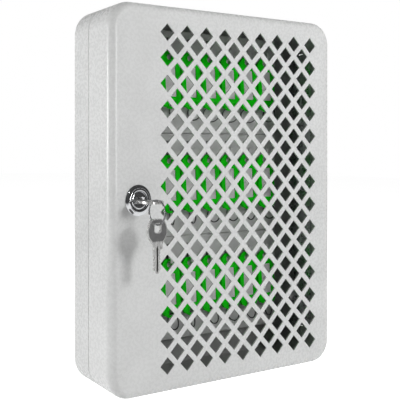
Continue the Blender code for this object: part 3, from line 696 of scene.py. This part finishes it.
face = [(0.0, -1.96), (2.6, -1.95), (4.6, -1.92), (5.6, -1.90), (6.15, -1.86), (6.50, -1.76),
        (6.74, -1.58), (6.84, -1.36), (6.86, -1.20), (6.72, -1.14), (6.00, -1.12),
        (6.00, 20.05), (5.80, 20.22), (0.0, 20.25)]
plug = lathe("lock_plug_turned", depth_profile(face), 72, closed=False)
plug.data.transform(OUT)
cut(plug, cuboid("tmp_tang", LOCK + Vector((-3.2 * MM, 19.5 * MM, -3.2 * MM)),
                 LOCK + Vector((3.2 * MM, 22.0 * MM, 3.2 * MM))), 'UNION')
# shallow trough that leads the key into its slot
cut(plug, bar("tmp_trough", 5.2 * MM, LOCK + Vector((-4.6 * MM, -6.70 * MM, 0)),
              LOCK + Vector((4.6 * MM, -6.70 * MM, 0)), 96))
# the keyway's walls are painted near-black as shade
slot_cut = cuboid("tmp_slot", LOCK + Vector((-3.3 * MM, -6 * MM, -1.2 * MM)),
                  LOCK + Vector((3.3 * MM, 16.6 * MM, 1.2 * MM)))
slot_cut.data.materials.append(PLUG_CHROME)
slot_cut.data.materials.append(CAVITY_SHADE)
for p in slot_cut.data.polygons:
    p.material_index = 1
plug.data.materials.clear()
plug.data.materials.append(PLUG_CHROME)
plug.data.materials.append(CAVITY_SHADE)
cut(plug, slot_cut)
cut(plug, bar("tmp_bore", 1.75 * MM, LOCK + Vector((0, 17.8 * MM, 0)),
              LOCK + Vector((0, 24 * MM, 0)), 24))
bevel(plug, 0.14 * MM, 2, 60)
settle(plug, 28)
indices = [p.material_index for p in plug.data.polygons]
finish_piece(plug, "plug", [PLUG_CHROME, CAVITY_SHADE], ["lock_plug"])
for p, k in zip(plug.data.polygons, indices):
    p.material_index = k


# ===================================================================== keys
def key_mesh(name):
    """Small cabinet key. Local X across, local Y up to the bow's end at 0."""
    t = 1.8 * MM
    right = [(3.0, 0.0), (5.4, -0.7), (7.2, -3.2), (8.35, -6.4), (8.80, -9.4), (8.2, -12.2),
             (6.6, -14.8), (5.0, -16.9)]
    left = [(-x, y) for x, y in reversed(right)]
    bow = []
    chain = left + right
    # corner cutting on the open chain only
    for _ in range(2):
        nxt = [chain[0]]
        for (x0, y0), (x1, y1) in zip(chain, chain[1:]):
            nxt += [(x0 * 0.75 + x1 * 0.25, y0 * 0.75 + y1 * 0.25),
                    (x0 * 0.25 + x1 * 0.75, y0 * 0.25 + y1 * 0.75)]
        nxt.append(chain[-1])
        chain = nxt
    bow = chain
    # right side, going down: neck, prong with its slit, blade edge with cuts
    down = [(4.7, -17.5), (4.5, -18.1), (4.4, -18.8), (4.4, -21.5), (4.15, -21.9), (3.35, -21.9),
            (3.2, -21.6), (3.2, -19.9), (2.9, -19.4), (2.45, -19.5), (2.3, -20.1)]
    y = -22.6
    for cut_d, run in ((0.35, 1.1), (0.7, 1.0), (0.25, 1.2), (0.8, 0.9), (0.5, 1.1), (0.2, 1.0)):
        down += [(2.3, y), (2.3 - cut_d, y - 0.55), (2.3 - cut_d, y - 0.55 - run * 0.5),
                 (2.3, y - 1.1 - run * 0.5)]
        y -= 1.1 + run
    down += [(2.3, -36.4), (1.2, -38.6), (0.4, -39.4), (-0.8, -39.4), (-1.8, -38.5),
             (-3.1, -36.6)]
    up = []
    y = -35.4
    for cut_d, run in ((0.3, 0.9), (0.6, 1.0), (0.35, 1.1), (0.7, 0.9), (0.25, 1.0)):
        up += [(-3.1, y), (-3.1 + cut_d, y + 0.5), (-3.1 + cut_d, y + 0.5 + run * 0.5),
               (-3.1, y + 1.0 + run * 0.5)]
        y += 1.2 + run
    up += [(-3.1, -19.6), (-3.25, -18.7), (-3.9, -18.0), (-4.6, -17.4)]
    loop = [(x * MM, yy * MM) for x, yy in bow + down + up]
    hole = fillet_loop([(2.75 * MM, -3.50 * MM), (-2.75 * MM, -3.50 * MM),
                        (-2.75 * MM, -9.90 * MM), (2.75 * MM, -9.90 * MM)], 1.7 * MM, 5)
    ob = link(name, plate(name, [loop, hole], t))
    ob.data.materials.append(NICKEL)
    ob.data.materials.append(NICKEL_RECESS_SHADE)
    ob.data.materials.append(CAVITY_SHADE)
    # sunk panel around the hole on both sides of the bow, in darkened nickel as painted shade; the blade's
    # groove in near-black as painted shade
    panel = [(x * 0.90 * MM, (-8.9 + (yy + 8.9) * 0.91) * MM) for x, yy in bow]
    rim = fillet_loop([(3.45 * MM, -2.9 * MM), (-3.45 * MM, -2.9 * MM),
                       (-3.45 * MM, -10.5 * MM), (3.45 * MM, -10.5 * MM)], 2.1 * MM, 5)
    groove = [(0.65, -21.2), (0.65, -36.9), (0.3, -38.3), (-0.3, -38.6), (-0.75, -37.0),
              (-0.75, -21.2), (-0.3, -19.8), (0.2, -19.5)]
    groove = [((x - 0.35) * MM, yy * MM) for x, yy in groove]
    for side in (-1, 1):
        for tag, loops, depth in (("panel", [panel, rim], 0.28 * MM), ("groove", [groove], 0.5 * MM)):
            tool = link("tmp_" + tag, plate("tmp_" + tag, loops, depth * 2))
            tool.data.transform(Matrix.Translation((0, 0, side * t / 2)))
            tool.data.materials.append(NICKEL)
            tool.data.materials.append(NICKEL_RECESS_SHADE)
            tool.data.materials.append(CAVITY_SHADE)
            for p in tool.data.polygons:
                p.material_index = 1 if tag == "panel" else 2
            cut(ob, tool)
    bevel(ob, 0.16 * MM, 2, 55)
    settle(ob, 35)
    me = ob.data
    drop(ob)
    return me


spare_lo, spare_hi = box("spare_key")
key_lo, key_hi = box("key_in_lock")
key_proto = key_mesh("key_blank")
for name, node, body, pose in (
        ("key_spare_cut", "spare_key", "spare",
         Matrix.Translation((LOCK.x, (spare_lo.y + spare_hi.y) / 2, spare_hi.z))
         @ Matrix.Rotation(pi / 2, 4, 'X')),
        ("key_inserted_cut", "key_in_lock", "key",
         Matrix.Translation((LOCK.x, key_lo.y, LOCK.z)) @ Matrix.Rotation(pi, 4, 'Z'))):
    me = key_proto.copy()
    me.name = name
    me.transform(pose)
    ob = link(name, me)
    keep = [p.material_index for p in me.polygons]
    finish_piece(ob, body, [NICKEL, NICKEL_RECESS_SHADE, CAVITY_SHADE], [node])
    for p, k in zip(me.polygons, keep):
        p.material_index = k


# ============================================================== split rings
def split_ring(name, radius, wire_w, wire_t, steps=44, minor=8):
    """Two turns of flattened wire lying side by side, in local XY."""
    bm = bmesh.new()
    turns = 2.0
    total = int(steps * turns) + 1
    rows = []
    for i in range(total):
        a = 2 * pi * turns * i / (total - 1)
        f = (a - 2 * pi * 0.94) / (2 * pi * 0.12)
        f = max(0.0, min(1.0, f))
        f = f * f * (3 - 2 * f)
        z = (f - 0.5) * (wire_t + 0.02 * MM)
        r0 = radius - 0.0
        ring = []
        for k in range(minor):
            b = 2 * pi * k / minor
            # squashed circle, flattened towards the neighbouring turn
            u = wire_w / 2 * cos(b)
            v = wire_t / 2 * max(-0.92, min(0.92, sin(b) * 1.12))
            ring.append(bm.verts.new(((r0 + u) * cos(a), (r0 + u) * sin(a), z + v)))
        rows.append(ring)
    for p, q in zip(rows, rows[1:]):
        for k in range(minor):
            m = (k + 1) % minor
            bm.faces.new((p[k], p[m], q[m], q[k]))
    bm.faces.new(rows[0])
    bm.faces.new(list(reversed(rows[-1])))
    bmesh.ops.recalc_face_normals(bm, faces=bm.faces)
    me = bpy.data.meshes.new(name)
    bm.to_mesh(me)
    bm.free()
    me.shade_smooth()
    me.set_sharp_from_angle(angle=radians(50))
    return me


ring_lo, ring_hi = box("key_ring")
ring_me = split_ring("key_ring_split", (ring_hi.z - ring_lo.z) / 2 - 0.55 * MM, 1.05 * MM,
                     0.52 * MM, 56, 8)
ring_me.transform(Matrix.Translation((ring_lo + ring_hi) / 2)
                  @ Matrix.Rotation(pi / 2, 4, 'Y') @ Matrix.Rotation(radians(200), 4, 'Z'))
ring_ob = link("key_ring_split", ring_me)
finish_piece(ring_ob, "ring", [KEY_WIRE], ["key_ring"])


# ================================================================= key tags
TAG_T, TAG_L = 2.6 * MM, 49.6 * MM
TAG_LEAN = Matrix.Rotation(radians(-3.5), 4, 'X')     # the foot rests on the ring behind it
TAG_CENTRE = Matrix.Translation((0, 0, -21.5 * MM))   # below the hook it hangs on
RING_YAW = {"top": (55, -22, 12, 55, 55, 55, 0),
            "middle": (55, -24, -20, 4, 2, -14, 0),
            "bottom": (-20, 0, -24, -4, 4, -10, -22)}


def tag_meshes():
    """Tag body, label card and clear cover, all around the tag's centre."""
    lo, hi = box("key_tag_top_2")
    w, t, l = hi.x - lo.x, TAG_T, TAG_L
    half, top, low = w / 2, l / 2, -l / 2
    body_low = low + 1.8 * MM
    right = [(3.4 * MM, top), (4.8 * MM, top - 0.8 * MM), (half, top - 6.4 * MM),
             (half, body_low + 3.4 * MM), (7.4 * MM, body_low), (5.0 * MM, body_low - 0.3 * MM),
             (4.2 * MM, low + 0.5 * MM), (3.3 * MM, low)]
    radii = [1.2, 2.0, 2.8, 2.2, 1.4, 0.8, 0.6, 0.8]
    loop = right + [(-x, y) for x, y in reversed(right)]
    loop = fillet_loop(loop, [r * MM for r in radii + radii[::-1]], 4)
    eye_y = top - 4.95 * MM
    eye = [(2.72 * MM * cos(2 * pi * i / 28), eye_y + 2.72 * MM * sin(2 * pi * i / 28))
           for i in range(28)]
    f0 = low + 1.8 * MM
    foot = fillet_loop([(2.2 * MM, f0), (2.2 * MM, f0 + 4.4 * MM), (-2.2 * MM, f0 + 4.4 * MM),
                        (-2.2 * MM, f0)], 1.0 * MM, 4)
    ob = link("tag_body", plate("tag_body", [loop, eye, foot], t))
    ob.data.transform(Matrix.Rotation(pi / 2, 4, 'X'))      # local Y up becomes Z, front is -Y
    lab_top = top - 12.4 * MM
    lw, lh = 11.2 * MM, 27.0 * MM
    win = link("tmp_window", plate("tmp_window", [fillet_loop(
        [(lw / 2, lab_top), (-lw / 2, lab_top), (-lw / 2, lab_top - lh), (lw / 2, lab_top - lh)],
        0.8 * MM, 4)], 1.6 * MM))
    win.data.transform(Matrix.Translation((0, -t / 2, 0)) @ Matrix.Rotation(pi / 2, 4, 'X'))
    cut(ob, win)
    for s in (-1, 1):
        for tag, w2, z0, z1 in (("crown", 6.5 * MM, eye_y - 3.5 * MM, top + 1 * MM),
                                ("foot", 4.6 * MM, low - 1 * MM, f0 + 5.2 * MM)):
            y0, y1 = sorted((s * 0.6 * MM, s * 3 * MM))
            cut(ob, cuboid("tmp_" + tag, (-w2, y0, z0), (w2, y1, z1)))
    bevel(ob, 0.30 * MM, 2, 50)
    settle(ob, 32)
    collar = lathe("tmp_collar", [(3.10 * MM, 0.0), (3.13 * MM, 0.20 * MM), (3.25 * MM, 0.30 * MM),
                                  (3.45 * MM, 0.30 * MM), (3.63 * MM, 0.18 * MM),
                                  (3.68 * MM, 0.0)], 40)
    for s in (-1, 1):
        piece = link("tmp_collar_side", collar.data.copy())
        piece.data.transform(Matrix.Translation((0, s * 0.55 * MM, eye_y))
                             @ Matrix.Rotation(-s * pi / 2, 4, 'X'))
        cut(ob, piece, 'UNION')
    drop(collar)
    settle(ob, 32)
    body = ob.data
    drop(ob)
    card_loop = fillet_loop([(lw / 2 - 0.25 * MM, lab_top - 0.25 * MM),
                             (0.25 * MM - lw / 2, lab_top - 0.25 * MM),
                             (0.25 * MM - lw / 2, lab_top - lh + 0.25 * MM),
                             (lw / 2 - 0.25 * MM, lab_top - lh + 0.25 * MM)], 0.6 * MM, 3)
    card = plate("tag_card", [card_loop], 0.22 * MM)
    card.transform(Matrix.Translation((0, -t / 2 + 0.66 * MM, 0)) @ Matrix.Rotation(pi / 2, 4, 'X'))
    # cover: a slightly crowned sheet with its edges tucked behind the frame
    bm = bmesh.new()
    nx, nz = 8, 14
    grid = []
    cw, ch = lw / 2 - 0.12 * MM, lh / 2 - 0.12 * MM
    for a in range(nx + 1):
        row = []
        for b in range(nz + 1):
            u, v = -1 + 2 * a / nx, -1 + 2 * b / nz
            bow = 0.22 * MM * (1 - u ** 4) * (1 - v ** 8)
            row.append(bm.verts.new((u * cw, -t / 2 + 0.42 * MM - bow,
                                     lab_top - lh / 2 + v * ch)))
        grid.append(row)
    for a in range(nx):
        for b in range(nz):
            bm.faces.new((grid[a][b], grid[a + 1][b], grid[a + 1][b + 1], grid[a][b + 1]))
    me = bpy.data.meshes.new("tag_cover")
    bm.to_mesh(me)
    bm.free()
    tmp = link("tmp_cover", me)
    sol = tmp.modifiers.new("film", 'SOLIDIFY')
    sol.thickness = 0.12 * MM
    sol.offset = 0.0
    cover = baked(tmp, "tag_cover")
    drop(tmp)
    cover.shade_smooth()
    cover.set_sharp_from_angle(angle=radians(40))
    return body, card, cover


tag_body, tag_card, tag_cover = tag_meshes()
wire_ring = None
for row in ("top", "middle", "bottom"):
    for k in range(2, 9):
        tag_node = "key_tag_%s_%d" % (row, k)
        ring_node = "tag_ring_%s_%d" % (row, k)
        body = "tag_%s_%d" % (row, k)
        hook = Matrix.Translation(JOINTS["tag_swing_%s_%d" % (row, k)]["pos_m"])
        for kind, proto, mat, slot in (("body", tag_body, GREEN, "tag_green"),
                                       ("card", tag_card, PAPER, "tag_green"),
                                       ("cover", tag_cover, FILM, "tag_green")):
            me = proto.copy()
            me.transform(hook @ TAG_LEAN @ TAG_CENTRE)
            ob = link("tag_%s_%s_%d" % (kind, row, k), me)
            finish_piece(ob, body, [mat], [tag_node] if kind == "body" else ())
        rlo, rhi = box(ring_node)
        if wire_ring is None:
            wire_ring = split_ring("tag_wire", (rhi.z - rlo.z) / 2 - 0.55 * MM, 0.95 * MM,
                                   0.50 * MM, 36, 6)
        me = wire_ring.copy()
        me.transform(Matrix.Translation((rlo + rhi) / 2) @ TAG_LEAN
                     @ Matrix.Rotation(radians(RING_YAW[row][k - 2]), 4, 'Z')
                     @ Matrix.Rotation(pi / 2, 4, 'Y')
                     @ Matrix.Rotation(radians(37 * k + 60), 4, 'Z'))
        ob = link("tag_wire_%s_%d" % (row, k), me)
        finish_piece(ob, body, [TAG_WIRE], [ring_node])

# ================================================ nodes kept from the model
carried = {
    "hook_board_top": BOARD_PAINT, "hook_board_middle": BOARD_PAINT,
    "hook_board_bottom": BOARD_PAINT, "hinge_leaf_body": ZINC, "hinge_leaf_door": ZINC,
    "hinge_pin": ZINC, "lock_washer": ZINC, "lock_nut": ZINC, "lock_cam": ZINC,
    "cam_screw": ZINC, "latch_strike": ZINC,
}
for node, mat in carried.items():
    ob = bpy.data.objects[node]
    if ob.material_slots:
        for s in ob.material_slots:
            s.material = mat
    else:
        ob.data.materials.append(mat)


# ================================================================== studio
def floor_material():
    """Pale sweep: reads as near-white paper, with only a soft contact shadow."""
    n = Nodes("studio_floor")
    tint = n.mix(n.noise(3.0, 2.0), (0.90, 0.90, 0.90), (0.92, 0.92, 0.92))
    n.set("Base Color", tint)
    n.set("Roughness", 0.9)
    n.set("Specular IOR Level", 0.0)
    n.set("Emission Color", (1.0, 1.0, 1.0))
    n.set("Emission Strength", 0.80)
    # light it throws back on the object, and what polished metal sees of it
    matt = n.add('ShaderNodeBsdfDiffuse')
    matt.inputs["Color"].default_value = (0.80, 0.80, 0.80, 1.0)
    lift = n.add('ShaderNodeEmission')
    lift.inputs["Strength"].default_value = 0.22
    both = n.add('ShaderNodeAddShader')
    n.link(matt.outputs[0], both.inputs[0])
    n.link(lift.outputs[0], both.inputs[1])
    away = n.add('ShaderNodeVectorMath', operation='LENGTH')
    n.link(n.coord.outputs["Object"], away.inputs[0])
    sheen = n.add('ShaderNodeEmission')
    n.link(n.span(away.outputs["Value"], 0.45, 0.80, 0.85, 0.05), sheen.inputs["Strength"])
    seen = n.add('ShaderNodeLightPath')
    m0 = n.add('ShaderNodeMixShader')
    n.link(seen.outputs["Is Glossy Ray"], m0.inputs[0])
    n.link(both.outputs[0], m0.inputs[1])
    n.link(sheen.outputs[0], m0.inputs[2])
    m = n.add('ShaderNodeMixShader')
    n.link(seen.outputs["Is Camera Ray"], m.inputs[0])
    n.link(m0.outputs[0], m.inputs[1])
    n.link(n.bsdf.outputs[0], m.inputs[2])
    n.link(m.outputs[0], n.out.inputs["Surface"])
    return n.mat


bm = bmesh.new()
bmesh.ops.create_circle(bm, cap_ends=True, segments=96, radius=4.0)
me = bpy.data.meshes.new("studio_floor")
bm.to_mesh(me)
bm.free()
floor = link("studio_floor", me)
floor.location = (0, 0, CAD_BOX[0][2] - 0.0002)
floor.data.materials.append(floor_material())

scene.view_settings.view_transform = 'Standard'
scene.view_settings.look = 'None'
scene.view_settings.exposure = 0.0
scene.view_settings.gamma = 1.0

world = bpy.data.worlds.new("studio")
scene.world = world
world.use_nodes = True
wt = world.node_tree
wt.nodes.clear()


def wnode(kind, **props):
    n = wt.nodes.new(kind)
    for k, v in props.items():
        setattr(n, k, v)
    return n


def wspan(value, a, b, c, d):
    m = wnode('ShaderNodeMapRange', interpolation_type='SMOOTHSTEP')
    m.inputs["From Min"].default_value = a
    m.inputs["From Max"].default_value = b
    m.inputs["To Min"].default_value = c
    m.inputs["To Max"].default_value = d
    wt.links.new(value, m.inputs["Value"])
    return m.outputs["Result"]


def wmath(op, a, b):
    m = wnode('ShaderNodeMath', operation=op)
    for sock, v in ((m.inputs[0], a), (m.inputs[1], b)):
        if isinstance(v, (int, float)):
            sock.default_value = v
        else:
            wt.links.new(v, sock)
    return m.outputs[0]


coord = wnode('ShaderNodeTexCoord')
sep = wnode('ShaderNodeSeparateXYZ')
wt.links.new(coord.outputs["Generated"], sep.inputs[0])
dx, dy, dz = sep.outputs[0], sep.outputs[1], sep.outputs[2]
# what polished metal and paint see: pale backdrop behind the object, dark
# room in front of it
gloss = wspan(dy, 0.10, 0.55, 0.05, 0.62)
path = wnode('ShaderNodeLightPath')
bg_cam = wnode('ShaderNodeBackground')
bg_cam.inputs["Color"].default_value = (1, 1, 1, 1)
bg_cam.inputs["Strength"].default_value = 1.0
bg_gloss = wnode('ShaderNodeBackground')
bg_gloss.inputs["Color"].default_value = (1, 1, 1, 1)
wt.links.new(gloss, bg_gloss.inputs["Strength"])
bg_fill = wnode('ShaderNodeBackground')
bg_fill.inputs["Color"].default_value = (1.0, 1.0, 1.0, 1)
bg_fill.inputs["Strength"].default_value = 0.20
m1 = wnode('ShaderNodeMixShader')
wt.links.new(path.outputs["Is Glossy Ray"], m1.inputs[0])
wt.links.new(bg_fill.outputs[0], m1.inputs[1])
wt.links.new(bg_gloss.outputs[0], m1.inputs[2])
m2 = wnode('ShaderNodeMixShader')
wt.links.new(path.outputs["Is Camera Ray"], m2.inputs[0])
wt.links.new(m1.outputs[0], m2.inputs[1])
wt.links.new(bg_cam.outputs[0], m2.inputs[2])
wout = wnode('ShaderNodeOutputWorld')
wt.links.new(m2.outputs[0], wout.inputs["Surface"])


def area(name, at, target, size, power, size_y=None):
    la = bpy.data.lights.new(name, 'AREA')
    la.energy = power
    la.size = size
    if size_y:
        la.shape = 'RECTANGLE'
        la.size_y = size_y
    ob = bpy.data.objects.new(name, la)
    scene.collection.objects.link(ob)
    ob.location = at
    aim = Vector(target) - Vector(at)
    ob.rotation_euler = aim.to_track_quat('-Z', 'Y').to_euler()
    return ob


key = area("key_light", (0.42, -1.22, 0.58), (0.0, 0.0, 0.0), 0.42, 11.6)
key.visible_glossy = False
left = area("left_light", (-1.22, 0.32, -0.01), (-0.1, 0.0, -0.02), 0.34, 9.8, 0.26)
left.visible_glossy = False
sheen = area("left_sheen", (-1.22, 0.34, 0.12), (-0.1, 0.0, 0.05), 0.30, 5.6, 0.40)
sheen.visible_diffuse = False
edge = area("edge_light", (0.06, -1.50, 0.10), (-0.11, -0.05, 0.0), 0.22, 9.0, 0.8)
edge.visible_diffuse = False
right = area("right_light", (0.95, -0.80, 0.15), (0.05, 0.0, 0.0), 0.40, 1.6, 0.5)
right.visible_glossy = False

# =================================================================== camera
CAM_AT = Vector((-0.377, -0.4315, 0.040))
cam_data = bpy.data.cameras.new("camera")
cam_data.lens = 55.39
cam_data.sensor_width = 36.0
cam_data.clip_start = 0.01
cam = bpy.data.objects.new("camera", cam_data)
scene.collection.objects.link(cam)
cam.location = CAM_AT
cam.rotation_euler = (Vector((0.412, 0.911, 0.0))).to_track_quat('-Z', 'Y').to_euler()
scene.camera = cam
# the frame is shifted only while the camera stands at the main view
for prop, value in (("shift_x", 0.4975), ("shift_y", -0.1320)):
    drv = cam_data.driver_add(prop).driver
    drv.type = 'SCRIPTED'
    var = drv.variables.new()
    var.name = "x"
    var.type = 'TRANSFORMS'
    var.targets[0].id = cam
    var.targets[0].transform_type = 'LOC_X'
    var.targets[0].transform_space = 'WORLD_SPACE'
    drv.expression = "%s if abs(x + 0.377) < 0.0004 else 0.0" % value
